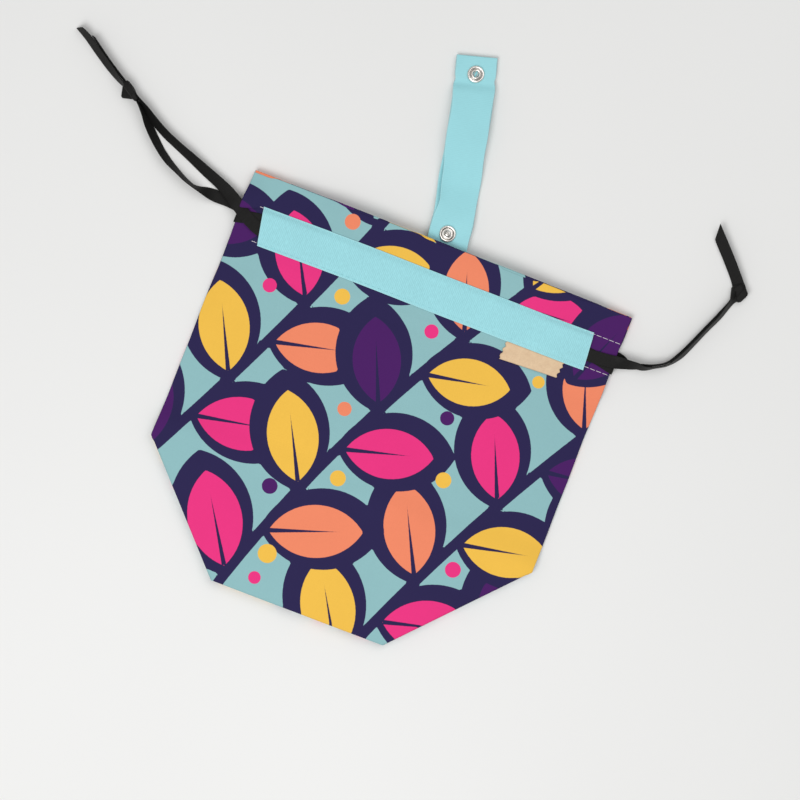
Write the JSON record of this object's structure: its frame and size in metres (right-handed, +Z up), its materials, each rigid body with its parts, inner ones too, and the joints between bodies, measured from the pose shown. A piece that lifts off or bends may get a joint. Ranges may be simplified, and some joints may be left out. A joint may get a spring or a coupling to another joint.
{
  "type": "knitting project bag",
  "caption": "Flat-lying drawstring project bag of printed cotton with a folded boxed base, ribbon casing bands, tape drawstrings and a snap strap.",
  "frame": {"origin": "on the surface that the bag lies on, under the middle of the box of the bag with its strap, without the drawstrings", "axes": "+Z up from the surface, +Y from the folded bottom towards the mouth and the strap, +X to the right seen from above"},
  "size_m": [0.4551, 0.3704, 0.0137],
  "materials": {
    "printed_cotton": "printed plain-weave cotton",
    "aqua_ribbon": "twill ribbon",
    "black_tape": "matt woven tape",
    "tan_tag": "plain tan tab",
    "silver": "polished"
  },
  "bodies": {
    "root": {"bag_front": "printed_cotton", "bag_back": "printed_cotton", "casing_band_front": "aqua_ribbon", "casing_band_back": "aqua_ribbon", "side_tag": "tan_tag", "snap_strap": "aqua_ribbon", "snap_socket": "silver", "snap_stud": "silver", "string_left_run": "black_tape", "string_left_front": "black_tape", "string_left_back": "black_tape", "knot_left": "black_tape", "tail_left_upper": "black_tape", "tail_left_lower": "black_tape", "string_right_run": "black_tape", "string_right_front": "black_tape", "string_right_back": "black_tape", "knot_right": "black_tape", "tail_right_upper": "black_tape", "tail_right_lower": "black_tape"}
  },
  "joints": []
}
